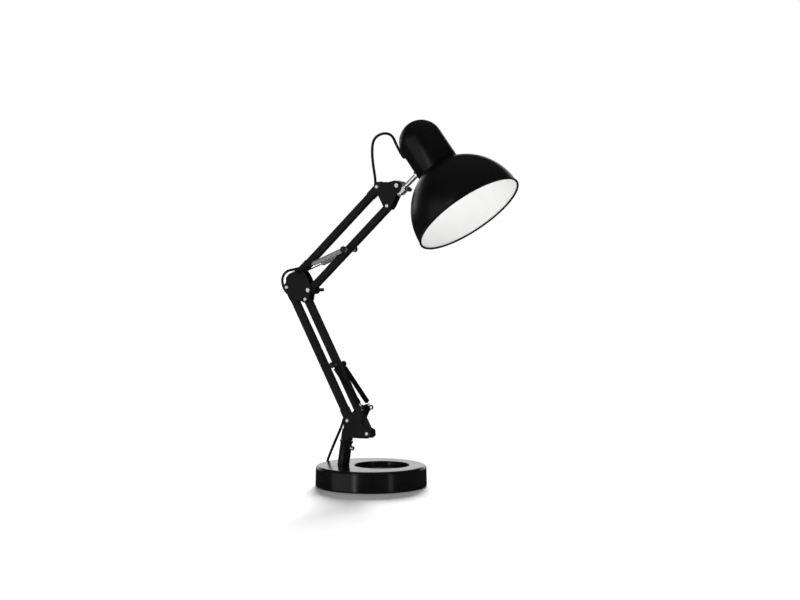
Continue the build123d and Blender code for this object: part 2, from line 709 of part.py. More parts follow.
elbow_route = [in_arm(p) for p in (
    step(pivot_a1, lower_arm_angle, run_end), step(pivot_a1, lower_arm_angle, -16.0),
    moved(pivot_a1, (-6.4, -6.6)), moved(pivot_a1, (-12.2, 5.5)), moved(pivot_a1, (-11.2, 15.2)),
    moved(pivot_a1, (-4.0, 22.6)), moved(pivot_a1, (9.0, 24.6)),
    step(pivot_c0, upper_arm_angle, 11.4), step(pivot_c0, upper_arm_angle, upper_run_start))]
head_route = [in_arm(p) for p in (
    step(pivot_c1, upper_arm_angle, upper_run_end), step(pivot_c1, upper_arm_angle, -9.0),
    moved(pivot_c1, (-5.8, 9.4)), moved(pivot_c1, (-9.4, 27.0)), moved(pivot_c1, (-11.8, 48.4)),
    moved(pivot_c1, (-8.8, 64.8)), moved(pivot_c1, (6.7, 71.4)), moved(pivot_c1, (20.2, 67.4)),
    step(gland_start, shade_turn + 180.0, 9.9, -0.6), step(gland_start, shade_turn, -0.4))]
drop_route = [
    in_arm(step(pivot_a0, lower_arm_angle, run_start)),
    in_arm(step(pivot_a0, lower_arm_angle, 14.0)), in_arm(moved(pivot_a0, (-13.0, -5.6)), 2.4),
    (-56.2, -3.5, 56.0), on_base(-62.5, 52.4, 24.6), on_base(-63.4, 63.0, 11.5),
    on_base(-61.0, 76.0, 4.2), (*step(switch_in[:2], switch_turn, -7.5), 5.7), switch_in]
link_route = [
    switch_out, (*step(switch_out[:2], switch_turn, 8.0), 5.4), on_base(-37.8, 159.0, 3.0),
    on_base(-27.4, 161.0, floor), on_base(-17.0, 158.0, floor), on_base(-8.4, 150.6, 2.2),
    on_base(-0.4, 145.2, 2.7)]
plug_route = [
    on_base(0.4, 144.8, 13.5), on_base(13.5, 147.5, 12.3), on_base(28.0, 149.5, 9.2),
    on_base(40.5, 145.0, 7.0), on_base(48.6, 134.6, 6.8), plug_back]

lengths = {
    "elbow_loop": cord("elbow_loop", elbow_route),
    "head_loop": cord("head_loop", head_route),
    "lead_drop": cord("lead_drop", drop_route),
    "lead_link": cord("lead_link", link_route),
    "lead_plug_end": cord("lead_plug_end", plug_route),
}
lengths["lead_coil"] = coil_turns * 2 * pi * coil_turn_radius
lengths["switch"] = switch_length
lead = sum(lengths[name] for name in ("lead_drop", "lead_link", "lead_plug_end", "lead_coil", "switch"))
print("lead from the arm to the plug", round(lead))

for name, start, angle, first, last in (
        ("lower_cord_run", pivot_a0, lower_arm_angle, run_start, lower_arm_length + run_end),
        ("upper_cord_run", pivot_c0, upper_arm_angle, upper_run_start,
         upper_arm_length + upper_run_end)):
    way = (cos(radians(angle)), 0, sin(radians(angle)))
    with BuildPart() as run:
        with BuildSketch(Plane(origin=in_arm(step(start, angle, first)), x_dir=(0, 1, 0), z_dir=way)):
            Circle(cord_radius)
        extrude(amount=last - first)
    save(run, name)

with BuildPart() as coil:
    with BuildSketch(Plane(origin=coil_middle, x_dir=(1, 0, 0), z_dir=(0, -1, 0))) as section:
        with Locations((coil_turn_radius, coil_bottom + coil_high / 2)):
            RectangleRounded(coil_across_width, coil_high, cord_radius - 0.1)
    revolve(axis=Axis(coil_middle, (0, 0, 1)))
save(coil, "lead_coil")

tie_angle = base_turn + 20.0
tie_middle = (*step(coil_middle[:2], tie_angle, coil_turn_radius), coil_bottom + coil_high / 2)
tie_width = 6.0
with BuildPart() as tie:
    way = (-sin(radians(tie_angle)), cos(radians(tie_angle)), 0)
    with BuildSketch(Plane(origin=tie_middle, x_dir=(0, 0, 1), z_dir=way).offset(-tie_width / 2)):
        RectangleRounded(coil_high + 2 * tie_thickness, coil_across_width + 2 * tie_thickness + 1.2, 1.6)
        RectangleRounded(coil_high, coil_across_width + 1.2, 0.8, mode=Mode.SUBTRACT)
    extrude(amount=tie_width)
save(tie, "lead_tie")

# ---------- plug and switch ----------
plug_way = (cos(radians(plug_turn)), sin(radians(plug_turn)), 0)
plug_plane = Plane(origin=plug_back, x_dir=(plug_way[1], -plug_way[0], 0), z_dir=plug_way)
plug_tail = 15.0
with BuildPart() as plug:
    with BuildSketch(plug_plane.offset(plug_length)):
        RectangleRounded(plug_width, plug_height, 4.5)
    with BuildSketch(plug_plane.offset(plug_tail)):
        RectangleRounded(plug_width * 0.8, plug_height, 4.5)
    loft()
    with BuildSketch(plug_plane):
        Circle(cord_radius + 1.2)
    with BuildSketch(plug_plane.offset(plug_tail)):
        Circle(plug_height / 2 - 0.6)
    loft()
save(plug, "plug_body")

with BuildPart() as plug_pins:
    with BuildSketch(plug_plane.offset(plug_length)):
        with GridLocations(plug_pin_spacing, 1, 2, 1):
            Circle(plug_pin_radius)
    extrude(amount=plug_pin_length)
    fillet(plug_pins.edges().filter_by(GeomType.CIRCLE).group_by(Axis(plug_back, plug_way))[-1],
           radius=1.2)
save(plug_pins, "plug_pins")

switch_plane = Plane(origin=(switch_middle[0], switch_middle[1], 0.2),
                     x_dir=(cos(radians(switch_turn)), sin(radians(switch_turn)), 0), z_dir=(0, 0, 1))
switch_split = switch_height / 2
switch_wall = 1.5
rocker_length, rocker_width = 14.0, 8.0
rocker_pivot_height = switch_height - 3.0
rocker_turn = 3.5           # the rocker rests this many degrees to one side

with BuildPart() as switch_bottom:
    with BuildSketch(switch_plane):
        RectangleRounded(switch_length, switch_width, 6.5)
    extrude(amount=switch_split - 0.2)
    with BuildSketch(switch_plane.offset(switch_wall)):
        RectangleRounded(switch_length - 14.0, switch_width - 2 * switch_wall, 4.0)
    extrude(amount=switch_height, mode=Mode.SUBTRACT)
save(switch_bottom, "switch_case_bottom")

with BuildPart() as switch_top:
    with BuildSketch(switch_plane.offset(switch_split - 0.2)):
        RectangleRounded(switch_length, switch_width, 6.5)
    extrude(amount=switch_height - switch_split)
    fillet(switch_top.edges().group_by(Axis.Z)[-1], radius=2.0)
    with BuildSketch(switch_plane.offset(switch_split - 0.2)):
        RectangleRounded(switch_length - 14.0, switch_width - 2 * switch_wall, 4.0)
    extrude(amount=switch_height - switch_split - switch_wall, mode=Mode.SUBTRACT)
    with BuildSketch(switch_plane.offset(switch_split)):
        Rectangle(rocker_length + 1.0, rocker_width + 1.0)
    extrude(amount=switch_height, mode=Mode.SUBTRACT)
save(switch_top, "switch_case_top")

rocker_middle = (switch_middle[0], switch_middle[1], rocker_pivot_height)
rocker_way = (cos(radians(switch_turn)), sin(radians(switch_turn)))
rocker_plane = Plane(origin=rocker_middle, z_dir=(rocker_way[1], -rocker_way[0], 0),
                     x_dir=(rocker_way[0] * cos(radians(rocker_turn)),
                            rocker_way[1] * cos(radians(rocker_turn)), sin(radians(rocker_turn))))
with BuildPart() as rocker:
    with BuildSketch(rocker_plane.offset(-rocker_width / 2)):
        with BuildLine():
            end, top = rocker_length / 2, 4.2
            Polyline((0.9 - end, -1.0), (0.4 - end, top), (0.0, top - 1.3), (end - 0.4, top),
                     (end - 0.9, -1.0), (0.0, -3.0), close=True)
        make_face()
    extrude(amount=rocker_width)
save(rocker, "switch_rocker")

places = {
    "pivot_a0": pivot_a0, "pivot_b0": pivot_b0, "pivot_a1": pivot_a1, "pivot_b1": pivot_b1,
    "pivot_c0": pivot_c0, "pivot_d0": pivot_d0, "pivot_c1": pivot_c1, "pivot_d1": pivot_d1,
    "tilt_pivot": tilt_pivot, "rod_foot": rod_foot, "post_top": post_top,
    "lower_pin": lower_pin, "upper_pin": upper_pin, "lower_hook": lower_hook}
for name, place in places.items():
    print(name, [round(v, 3) for v in in_arm(place)])
print("post axis", [round(v, 5) for v in post_plane.z_dir], "foot", [round(v, 3) for v in post_foot])
print("thumb screw", [round(v, 3) for v in post_plane.offset(screw_height).origin])
print("rod axis", [round(v, 5) for v in rod_plane.z_dir], "head axis", [round(v, 5) for v in face_way])
print("rocker", [round(v, 3) for v in rocker_middle], "axis", [round(v, 5) for v in rocker_plane.z_dir])
print("socket mouth", [round(v, 3) for v in head_plane.offset(socket_start + socket_depth).origin])
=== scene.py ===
import json
from math import cos, pi, radians, sin, sqrt
import bpy
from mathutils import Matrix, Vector


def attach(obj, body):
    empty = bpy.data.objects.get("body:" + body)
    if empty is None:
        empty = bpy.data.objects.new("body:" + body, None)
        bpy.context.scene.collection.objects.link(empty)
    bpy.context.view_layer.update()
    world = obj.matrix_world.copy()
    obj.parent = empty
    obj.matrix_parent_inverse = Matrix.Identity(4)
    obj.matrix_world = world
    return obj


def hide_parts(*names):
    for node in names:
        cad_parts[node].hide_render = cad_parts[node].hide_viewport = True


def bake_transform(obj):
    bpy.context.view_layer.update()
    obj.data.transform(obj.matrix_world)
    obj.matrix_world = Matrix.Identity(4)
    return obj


# Swing arm desk lamp. Metres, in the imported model's frame: Z is up, the table is z = 0 and the arms
# swing in an upright plane parallel to XZ. Small sizes are written in millimetres, times MM.
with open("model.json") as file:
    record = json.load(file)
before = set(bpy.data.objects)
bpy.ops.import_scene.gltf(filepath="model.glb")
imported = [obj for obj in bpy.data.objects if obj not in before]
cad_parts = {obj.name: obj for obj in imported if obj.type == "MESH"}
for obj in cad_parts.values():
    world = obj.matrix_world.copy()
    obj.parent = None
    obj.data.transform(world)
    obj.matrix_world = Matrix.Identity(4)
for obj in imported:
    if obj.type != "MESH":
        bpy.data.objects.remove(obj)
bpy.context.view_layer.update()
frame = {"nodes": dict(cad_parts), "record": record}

MM = 0.001
scene = bpy.context.scene
pivots = {joint["name"]: Vector(joint["pos_m"]) for joint in frame["record"]["behaviour"]["joints"]}

# ---------- driving dimensions, in millimetres as in the CAD ----------
base_radius, base_height, base_turn = 75.0, 28.0, 31.0
tray_offset, tray_radius, tray_depth = 14.3, 37.0, 6.0
post_radius, post_length, post_lean = 8.0, 34.0, 9.1
lower_arm_angle, upper_arm_angle = 119.1, 41.8     # degrees from +X, counted upwards
spring_lead_in, spring_side = 5.2, 10.6
lower_spring_radius, lower_spring_body = 3.6, 58.8
upper_spring_radius, upper_spring_body = 3.3, 49.0
pin_radius, pin_reach, knob_radius, knob_height = 1.8, 16.0, 4.2, 3.0
lower_pin_at, upper_pin_at, lower_hook_step = 103.0, 83.0, (26.6, 17.8)
shade_radius, shade_height, shade_wall, shade_bead = 73.3, 78.5, 0.9, 1.5
cup_radius, cup_length, cup_wall = 29.0, 46.0, 1.0
shade_turn, shade_rim_at = -53.1, 117.7
cup_centre = (89.0, 456.4)
cord_radius, cord_sides = 1.8, 14
coil_radius, coil_turns, coil_layers = 19.0, 12, 4
coil_back, coil_off_table = 120.0, 0.9      # the tie passes under the coil
switch_length, switch_height = 46.0, 11.5
plug_length, plug_height = 34.0, 13.6


# ---------- places ----------
def step(point, angle, run, rise=0.0):
    """The point at run along the direction of angle, and rise to its left."""
    c, s = cos(radians(angle)), sin(radians(angle))
    return (point[0] + run * c - rise * s, point[1] + run * s + rise * c)


def moved(point, shift):
    return (point[0] + shift[0], point[1] + shift[1])


def on_base(right, back, height=0.0):
    x, y = step((0.0, 0.0), base_turn, right, back)
    return (x, y, height)


arm_y = pivots["lower_arm_swing"].y / MM


def in_arm(point, side=0.0):
    return (point[0], arm_y + side, point[1])


def flat(name):
    """A joint's place in the arm plane, in millimetres."""
    return (pivots[name].x / MM, pivots[name].z / MM)


pivot_a0, pivot_b0 = flat("lower_arm_swing"), flat("lower_right_arm_swing")
pivot_a1, pivot_c0 = flat("elbow_plate_turn"), flat("upper_arm_swing")
pivot_d0, pivot_c1 = flat("upper_right_arm_swing"), flat("head_bracket_turn")
lower_pin = step(pivot_b0, lower_arm_angle, lower_pin_at)
upper_pin = step(pivot_d0, upper_arm_angle, upper_pin_at)
lower_hook = moved(pivot_a0, lower_hook_step)
face_way = Vector((cos(radians(shade_turn)), 0, sin(radians(shade_turn))))
head_origin = Vector(in_arm(cup_centre))

# ---------- camera ----------
camera_place = Vector((1069.2, -1704.2, 306.0)) * MM
camera_tilt = 1.6           # degrees below level
camera = bpy.data.objects.new("camera", bpy.data.cameras.new("camera"))
camera.data.lens = 67.5
camera.data.sensor_width = 36.0
camera.data.clip_start = 0.1
camera.location = camera_place
camera.rotation_euler = (radians(90 - camera_tilt), 0, radians(base_turn))
scene.collection.objects.link(camera)
scene.camera = camera


# ---------- materials ----------
noise_low, noise_high = 0.3, 0.7        # between these lies most of a noise field
grain_depth = 0.1


def material(name, colour, metallic=0.0, roughness=0.4, specular=0.5, grain=1.5, bump=0.05,
             tint=0.15, wear=0.12):
    """A surface with a fine grain of grain millimetres.

    Its colour varies softly by the share tint, and its roughness by the share wear.
    """
    made = bpy.data.materials.new(name)
    made.use_nodes = True
    nodes, links = made.node_tree.nodes, made.node_tree.links
    shader = nodes["Principled BSDF"]
    shader.inputs["Metallic"].default_value = metallic
    shader.inputs["Specular IOR Level"].default_value = specular
    place = nodes.new("ShaderNodeTexCoord")

    def noise(scale, detail):
        field = nodes.new("ShaderNodeTexNoise")
        field.inputs["Scale"].default_value = scale
        field.inputs["Detail"].default_value = detail
        links.new(place.outputs["Object"], field.inputs["Vector"])
        return field

    def spread(field, low, high):
        """The field's middle values spread over low to high."""
        ramp = nodes.new("ShaderNodeMapRange")
        ramp.inputs["From Min"].default_value = noise_low
        ramp.inputs["From Max"].default_value = noise_high
        ramp.inputs["To Min"].default_value = low
        ramp.inputs["To Max"].default_value = high
        links.new(field.outputs["Fac"], ramp.inputs["Value"])
        return ramp

    clouds = noise(scale=60.0, detail=4.0)
    ramp = nodes.new("ShaderNodeValToRGB")
    ramp.color_ramp.elements[0].position = noise_low
    ramp.color_ramp.elements[1].position = noise_high
    ramp.color_ramp.elements[0].color = (*[c * (1 - tint) for c in colour], 1)
    ramp.color_ramp.elements[1].color = (*[min(1.0, c * (1 + tint)) for c in colour], 1)
    links.new(clouds.outputs["Fac"], ramp.inputs["Fac"])
    links.new(ramp.outputs["Color"], shader.inputs["Base Color"])
    smears = spread(noise(scale=25.0, detail=5.0), roughness * (1 - wear), roughness * (1 + wear))
    links.new(smears.outputs["Result"], shader.inputs["Roughness"])
    peel = nodes.new("ShaderNodeBump")
    peel.inputs["Strength"].default_value = bump
    peel.inputs["Distance"].default_value = grain_depth * MM
    links.new(noise(scale=1 / (grain * MM), detail=2.0).outputs["Fac"], peel.inputs["Height"])
    links.new(peel.outputs["Normal"], shader.inputs["Normal"])
    return made


gloss_black = material("gloss_black", (0.005, 0.005, 0.0058), roughness=0.2, specular=0.3,
                       grain=3.0, bump=0.03)
arm_black = material("arm_black", (0.006, 0.006, 0.0065), roughness=0.42, specular=0.15, grain=0.5,
                     bump=0.2)
shade_black = material("shade_black", (0.003, 0.003, 0.0033), roughness=0.3, specular=0.25,
                       grain=0.7, bump=0.08)
white_enamel = material("white_enamel", (0.88, 0.88, 0.875), roughness=0.4, specular=0.3, grain=2.0,
                        bump=0.03, tint=0.015)
chrome = material("chrome", (0.86, 0.86, 0.87), metallic=0.9, roughness=0.16, grain=0.8, bump=0.02,
                  tint=0.03, wear=0.4)
spring_steel = material("spring_steel", (0.6, 0.6, 0.59), metallic=0.75, roughness=0.36, grain=0.3,
                        bump=0.05, tint=0.06, wear=0.2)
spring_black = material("spring_black", (0.004, 0.004, 0.0045), roughness=0.35, specular=0.3,
                        grain=0.3, bump=0.1)
zinc_steel = material("zinc_steel", (0.6, 0.6, 0.58), metallic=1.0, roughness=0.32, grain=0.6,
                      bump=0.1, tint=0.1)
brass = material("brass", (0.78, 0.6, 0.3), metallic=1.0, roughness=0.28, grain=0.6, bump=0.08,
                 tint=0.08)
cast_iron = material("cast_iron", (0.12, 0.115, 0.11), metallic=0.4, roughness=0.7, grain=1.2,
                     bump=0.6)
pad_rubber = material("pad_rubber", (0.012, 0.012, 0.012), roughness=0.85, specular=0.2, grain=0.5,
                      bump=0.5)
black_plastic = material("black_plastic", (0.008, 0.008, 0.009), roughness=0.45, specular=0.35,
                         grain=0.25, bump=0.2)
gloss_plastic = material("gloss_plastic", (0.009, 0.009, 0.01), roughness=0.28, specular=0.4,
                         grain=0.4, bump=0.08)
cord_rubber = material("cord_rubber", (0.006, 0.006, 0.007), roughness=0.5, specular=0.3, grain=0.6,
                       bump=0.15)
by_slot = {
    "base_black": gloss_black, "arm_black": arm_black, "shade_black": shade_black,
    "chrome": chrome, "spring_steel": spring_steel, "spring_black": spring_black,
    "zinc_steel": zinc_steel, "brass": brass, "cast_iron": cast_iron, "pad": pad_rubber,
    "black_plastic": black_plastic, "switch_plastic": gloss_plastic,
    "holder_plastic": gloss_plastic, "cord": cord_rubber}
slots = {part["node"]: part["material_slot"] for part in frame["record"]["subparts"]}
for node, thing in frame["nodes"].items():
    thing.data.materials.clear()
    thing.data.materials.append(by_slot[slots[node]])


# ---------- mesh helpers ----------
def finish_mesh(name, points, faces, materials, body, slot, replaced=(), sharp=35.0, indices=None):
    """An object of the points, in millimetres, that stands for the replaced nodes.

    It rides on body, unless that is None.
    """
    mesh = bpy.data.meshes.new(name)
    mesh.from_pydata([Vector(p) * MM for p in points], [], faces)
    for each in materials:
        mesh.materials.append(each)
    if indices:
        mesh.polygons.foreach_set("material_index", indices)
    mesh.validate()
    mesh.shade_smooth()
    mesh.set_sharp_from_angle(angle=radians(sharp))
    thing = bpy.data.objects.new(name, mesh)
    scene.collection.objects.link(thing)
    if replaced:
        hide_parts(*replaced)
    if body:
        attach(thing, body)
    return thing


def skin(rings, loop=False, cap_start=False, cap_end=False):
    """Points and faces of a skin over rings of equally many points; a cap is a fan."""
    count = len(rings[0])
    points = [p for ring in rings for p in ring]
    faces = []
    last = len(rings) if loop else len(rings) - 1
    for i in range(last):
        a, b = i * count, (i + 1) % len(rings) * count
        for j in range(count):
            k = (j + 1) % count
            faces.append((a + j, a + k, b + k, b + j))
    for wanted, first, flip in ((cap_start, 0, True), (cap_end, (len(rings) - 1) * count, False)):
        if wanted:
            ring = [Vector(p) for p in points[first:first + count]]
            points.append(sum(ring, Vector()) / count)
            middle = len(points) - 1
            for j in range(count):
                k = (j + 1) % count
                faces.append((first + k, first + j, middle) if flip
                             else (first + j, first + k, middle))
    return points, faces


def across(axis):
    """Two directions square to an axis and to each other."""
    first = axis.cross(Vector((0, 1, 0)) if abs(axis.y) < 0.9 else Vector((1, 0, 0))).normalized()
    return first, axis.cross(first).normalized()


def lathe_rings(origin, axis, profile, count, ribs=0, rib_depth=0.0):
    """Rings round an axis for a profile of (radius, place) pairs; ribs wave the rim in and out."""
    u, v = across(axis)
    ribbed_from = 0.75 * knob_radius        # nearer the axis the faces stay round
    rings = []
    for radius, place in profile:
        ring = []
        for i in range(count):
            turn = 2 * pi * i / count
            wave = rib_depth * (0.5 - 0.5 * cos(ribs * turn)) if radius > ribbed_from else 0
            ring.append(origin + axis * place + (u * cos(turn) + v * sin(turn)) * (radius - wave))
        rings.append(ring)
    return rings


def arc(centre, radius, first, last, count=8):
    """Points of an arc in a profile, from one angle in degrees to another."""
    return [(centre[0] + radius * cos(radians(first + (last - first) * i / count)),
             centre[1] + radius * sin(radians(first + (last - first) * i / count)))
            for i in range(count + 1)]


def tube_rings(line, radius, count=12):
    """Rings along a line of points, turned as little as possible from one to the next."""
    line = [Vector(p) for p in line]
    side = None
    rings = []
    for i, p in enumerate(line):
        way = (line[min(i + 1, len(line) - 1)] - line[max(i - 1, 0)]).normalized()
        side = across(way)[0] if side is None else (side - way * side.dot(way)).normalized()
        other = way.cross(side)
        r = radius(i / (len(line) - 1)) if callable(radius) else radius
        rings.append([p + (side * cos(2 * pi * j / count) + other * sin(2 * pi * j / count)) * r
                      for j in range(count)])
    return rings


# ---------- cords ----------
def nurbs_curve(name, route):
    """A curve object of one open NURBS spline whose control points are the route's."""
    curve = bpy.data.curves.new(name, "CURVE")
    curve.dimensions = "3D"
    spline = curve.splines.new("NURBS")
    spline.points.add(len(route) - 1)
    for point, place in zip(spline.points, route):
        point.co = (*(Vector(place) * MM), 1)
    spline.order_u = 3
    spline.use_endpoint_u = True
    curve.resolution_u = 8
    thing = bpy.data.objects.new(name, curve)
    scene.collection.objects.link(thing)
    return thing


def nurbs_line(route):
    """The points of a route's NURBS spline, in millimetres."""
    thing = nurbs_curve("line", route)
    bpy.context.view_layer.update()
    mesh = bpy.data.meshes.new_from_object(thing)
    line = [v.co / MM for v in mesh.vertices]
    bpy.data.meshes.remove(mesh)
    curve = thing.data
    bpy.data.objects.remove(thing)
    bpy.data.curves.remove(curve)
    return line


def line_length(line):
    return sum((b - a).length for a, b in zip(line, line[1:]))


def cut(line, lengths):
    """The line in pieces of these lengths, and the rest; neighbours share their end point."""
    pieces, piece, run = [], [line[0]], 0.0
    wanted = list(lengths)
    for a, b in zip(line, line[1:]):
        run += (b - a).length
        piece.append(b)
        if wanted and run >= wanted[0]:
            pieces.append(piece)
            piece, run = [b], 0.0
            wanted.pop(0)
    return [*pieces, piece]


def cord_piece(name, line, bodies, node):
    """A length of cord as a mesh tube that rides on one body; named between two bodies, it rides on
    neither.
    """
    points, faces = skin(tube_rings(line, cord_radius, cord_sides), cap_start=True, cap_end=True)
    thing = finish_mesh(name, points, faces, [cord_rubber], None, "cord", [node], sharp=60)
    if len(bodies) == 1:
        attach(thing, bodies[0])
    else:
        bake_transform(thing)


floor_height = cord_radius + 0.05
# The cord is straight inside a left tube, from and to these places past its two pivots.
run_start, run_end, upper_run_start, upper_run_end = 34.0, -26.0, 29.0, -22.0
gland_stand, gland_length, gland_radius = cup_radius + 3.4, 11.5, 2.3
gland_end = step(step(cup_centre, shade_turn, 1.5), shade_turn - 90, gland_stand)
gland_start = step(gland_end, shade_turn, -gland_length)
switch_turn = base_turn + 79.0
switch_middle = on_base(-50.5, 120.0)
switch_in = (*step(switch_middle[:2], switch_turn, -switch_length / 2), switch_height / 2 + 0.2)
switch_out = (*step(switch_middle[:2], switch_turn, switch_length / 2), switch_height / 2 + 0.2)
plug_back = (*step(on_base(50.0, 108.0)[:2], base_turn - 90, -plug_length / 2), plug_height / 2)

elbow_route = [in_arm(p) for p in (
    step(pivot_a1, lower_arm_angle, run_end), step(pivot_a1, lower_arm_angle, -16.0),
    moved(pivot_a1, (-6.4, -6.6)), moved(pivot_a1, (-12.2, 5.5)), moved(pivot_a1, (-11.2, 15.2)),
    moved(pivot_a1, (-4.0, 22.6)), moved(pivot_a1, (9.0, 24.6)),
    step(pivot_c0, upper_arm_angle, 11.4), step(pivot_c0, upper_arm_angle, upper_run_start))]
head_route = [in_arm(p) for p in (
    step(pivot_c1, upper_arm_angle, upper_run_end), step(pivot_c1, upper_arm_angle, -9.0),
    moved(pivot_c1, (-5.8, 9.4)), moved(pivot_c1, (-9.4, 27.0)), moved(pivot_c1, (-11.8, 48.4)),
    moved(pivot_c1, (-8.8, 64.8)), moved(pivot_c1, (6.7, 71.4)), moved(pivot_c1, (20.2, 67.4)),
    step(gland_start, shade_turn + 180.0, 9.9, -0.6), step(gland_start, shade_turn, -0.4))]
drop_route = [
    in_arm(step(pivot_a0, lower_arm_angle, run_start)),
    in_arm(step(pivot_a0, lower_arm_angle, 14.0)), in_arm(moved(pivot_a0, (-13.0, -5.6)), 2.4),
    (-56.2, -3.5, 56.0), on_base(-62.5, 52.4, 24.6), on_base(-63.4, 63.0, 11.5),
    on_base(-61.0, 76.0, 4.2), (*step(switch_in[:2], switch_turn, -7.5), 5.7), switch_in]
link_route = [
    switch_out, (*step(switch_out[:2], switch_turn, 8.0), 5.4), on_base(-37.8, 159.0, 3.0),
    on_base(-27.4, 161.0, floor_height), on_base(-17.0, 158.0, floor_height),
    on_base(-8.4, 150.6, 2.2), on_base(-0.4, 145.2, 2.7)]
plug_route = [
    on_base(0.4, 144.8, 13.5), on_base(13.5, 147.5, 12.3), on_base(28.0, 149.5, 9.2),
    on_base(40.5, 145.0, 7.0), on_base(48.6, 134.6, 6.8), plug_back]


def coil_route():
    """Control points of the coil: three turns inwards, three outwards on top of them, and so on."""
    per_turn, pitch = 12, 2 * cord_radius
    per_layer = coil_turns / coil_layers
    cuts_in = 0.75 + 0.25 * cos(2 * pi / per_turn)      # the spline runs inside its control points
    bottom = coil_off_table + cord_radius
    climb = 0.12                                        # of a turn, each side of a layer's end
    points = []
    for i in range(1, coil_turns * per_turn):
        turns = i / per_turn
        layer = min(int(turns / per_layer), coil_layers - 1)
        along = turns - layer * per_layer
        inwards = layer % 2 == 0
        place = (0.5 * per_layer - along) * (1 if inwards else -1)
        radius = (coil_radius + place * pitch) / cuts_in
        to_next = (along - per_layer + climb) / (2 * climb)
        from_last = (along + climb) / (2 * climb)
        rise = max(0.0, to_next) if layer < coil_layers - 1 else 0.0
        sink = max(0.0, 1.0 - from_last) if layer > 0 else 0.0
        turn = 90.0 - 360.0 * turns
        right, back = radius * cos(radians(turn)), coil_back + radius * sin(radians(turn))
        points.append(on_base(right, back, bottom + (layer + rise - sink) * pitch))
    return points


# Each line is cut, by length, where it passes on to the next body.
head_cuts, drop_cuts = [38.0, 48.0], [38.0, 72.0]
elbow_line = nurbs_line(elbow_route)
first, second = cut(elbow_line, [line_length(elbow_line) * 0.5])
cord_piece("elbow_cord_lower", first, ("lower_left_arm", "elbow"), "elbow_loop")
cord_piece("elbow_cord_upper", second, ("elbow", "upper_left_arm"), "elbow_loop")

head_line = nurbs_line(head_route)
first, second, third = cut(head_line, head_cuts)
cord_piece("head_cord_lower", first, ("upper_left_arm", "head_bracket"), "head_loop")
cord_piece("head_cord_middle", second, ("head_bracket", "knuckle"), "head_loop")
cord_piece("head_cord_upper", third, ("knuckle", "head"), "head_loop")

drop_line = nurbs_line(drop_route)
first, second, third = cut(drop_line, drop_cuts)
cord_piece("lead_top", first, ("lower_left_arm", "swivel"), "lead_drop")
cord_piece("lead_fall", second, ("swivel", "base"), "lead_drop")
cord_piece("lead_to_switch", third, ("base",), "lead_drop")

lead = nurbs_curve("lead_coiled", [*link_route, *coil_route(), *plug_route])
lead.data.bevel_depth = cord_radius * MM
lead.data.bevel_resolution = 5
lead.data.use_fill_caps = True
lead.data.materials.append(cord_rubber)
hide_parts("lead_link", "lead_coil", "lead_plug_end")
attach(lead, "base")

# ---------- base ----------
tray = Vector(on_base(tray_offset, 0))
steps = 192


def circle(centre, radius, height):
    return [Vector((centre.x + radius * cos(2 * pi * i / steps),
                    centre.y + radius * sin(2 * pi * i / steps), height)) for i in range(steps)]


origin = Vector((0, 0, 0))
cover_wall, foot_height, foot_round = 2.0, 2.2, 0.7
shoulder, side_lean, lip, floor_bend = 4.2, 0.56, 1.2, 1.6
tray_floor = base_height - tray_depth
inner_ceiling = tray_floor - cover_wall
inner_radius = base_radius - cover_wall
shoulder_foot = base_height - shoulder
top_radius = base_radius - side_lean - shoulder
rings = [circle(origin, r, inner_ceiling) for r in (2.0, inner_radius - 0.2)]
rings += [circle(origin, inner_radius, inner_ceiling - 1), circle(origin, inner_radius, 1.5)]
rings += [circle(origin, r, z)
          for r, z in arc((base_radius - foot_round, foot_height), foot_round, -90, 0, 4)]
rings += [circle(origin, base_radius - side_lean * t,
                 foot_height + (shoulder_foot - foot_height) * t) for t in (0.33, 0.66)]
rings += [circle(origin, r, z) for r, z in arc((top_radius, shoulder_foot), shoulder, 0, 90, 10)]
rings += [circle(tray * t, top_radius + (tray_radius + lip - top_radius) * t, base_height)
          for t in (0.04, 0.5, 0.96)]
rings += [circle(tray, tray_radius + lip - r, z) for r, z in
          [(0, base_height), *[(lip * sin(radians(a)), base_height - lip * (1 - cos(radians(a))))
                               for a in (22.5, 45, 67.5, 90)]]]
rings += [circle(tray, tray_radius - floor_bend * (1 - cos(radians(a))),
                 tray_floor + floor_bend * (1 - sin(radians(a)))) for a in (0, 22.5, 45, 67.5, 90)]
rings += [circle(tray, r, tray_floor) for r in (tray_radius - floor_bend - 0.5, 12.0, 1.0)]
finish_mesh("base_cover", *skin(rings, cap_start=True, cap_end=True), [gloss_black], "base",
            "base_black", ["base_shell"], sharp=50)

# ---------- post ----------
post_sides, post_bore, rolled_lip = 64, post_radius - 2.0, 1.1
lean = Vector((sin(radians(post_lean)), 0, cos(radians(post_lean))))
post_foot = Vector((*on_base(-37.5, 0)[:2], base_height))
u, v = across(lean)
rings = []
for radius, place in [(post_radius, 0.0), (post_radius, 8.0), (post_radius, post_length - 3.4),
                      *[(post_radius + 0.2 + r, z) for r, z in
                        arc((0.0, post_length - 1.3), rolled_lip, -75, 90, 8)],
                      (post_radius - 1.2, post_length - 0.2),
                      (post_radius - 1.9, post_length - 0.5), (post_bore, post_length - 1.2),
                      (post_bore, post_length - 26.0)]:
    ring = []
    for i in range(post_sides):
        turn = 2 * pi * i / post_sides
        p = post_foot + (u * cos(turn) + v * sin(turn)) * radius + lean * place
        if place == 0.0:
            p += lean * ((base_height + 0.02 - p.z) / lean.z)
        ring.append(p)
    rings.append(ring)
finish_mesh("post_sleeve", *skin(rings, cap_end=True), [gloss_black], "base", "base_black",
            ["post_tube"], sharp=50)


# ---------- head ----------
def bowl(wide, deep, depth, count):
    """A bowl's outline from the rim to its neck: radius and place along the head's axis."""
    return [(wide * sqrt(1 - (depth * i / count / deep) ** 2), shade_rim_at - depth * i / count)
            for i in range(count + 1)]


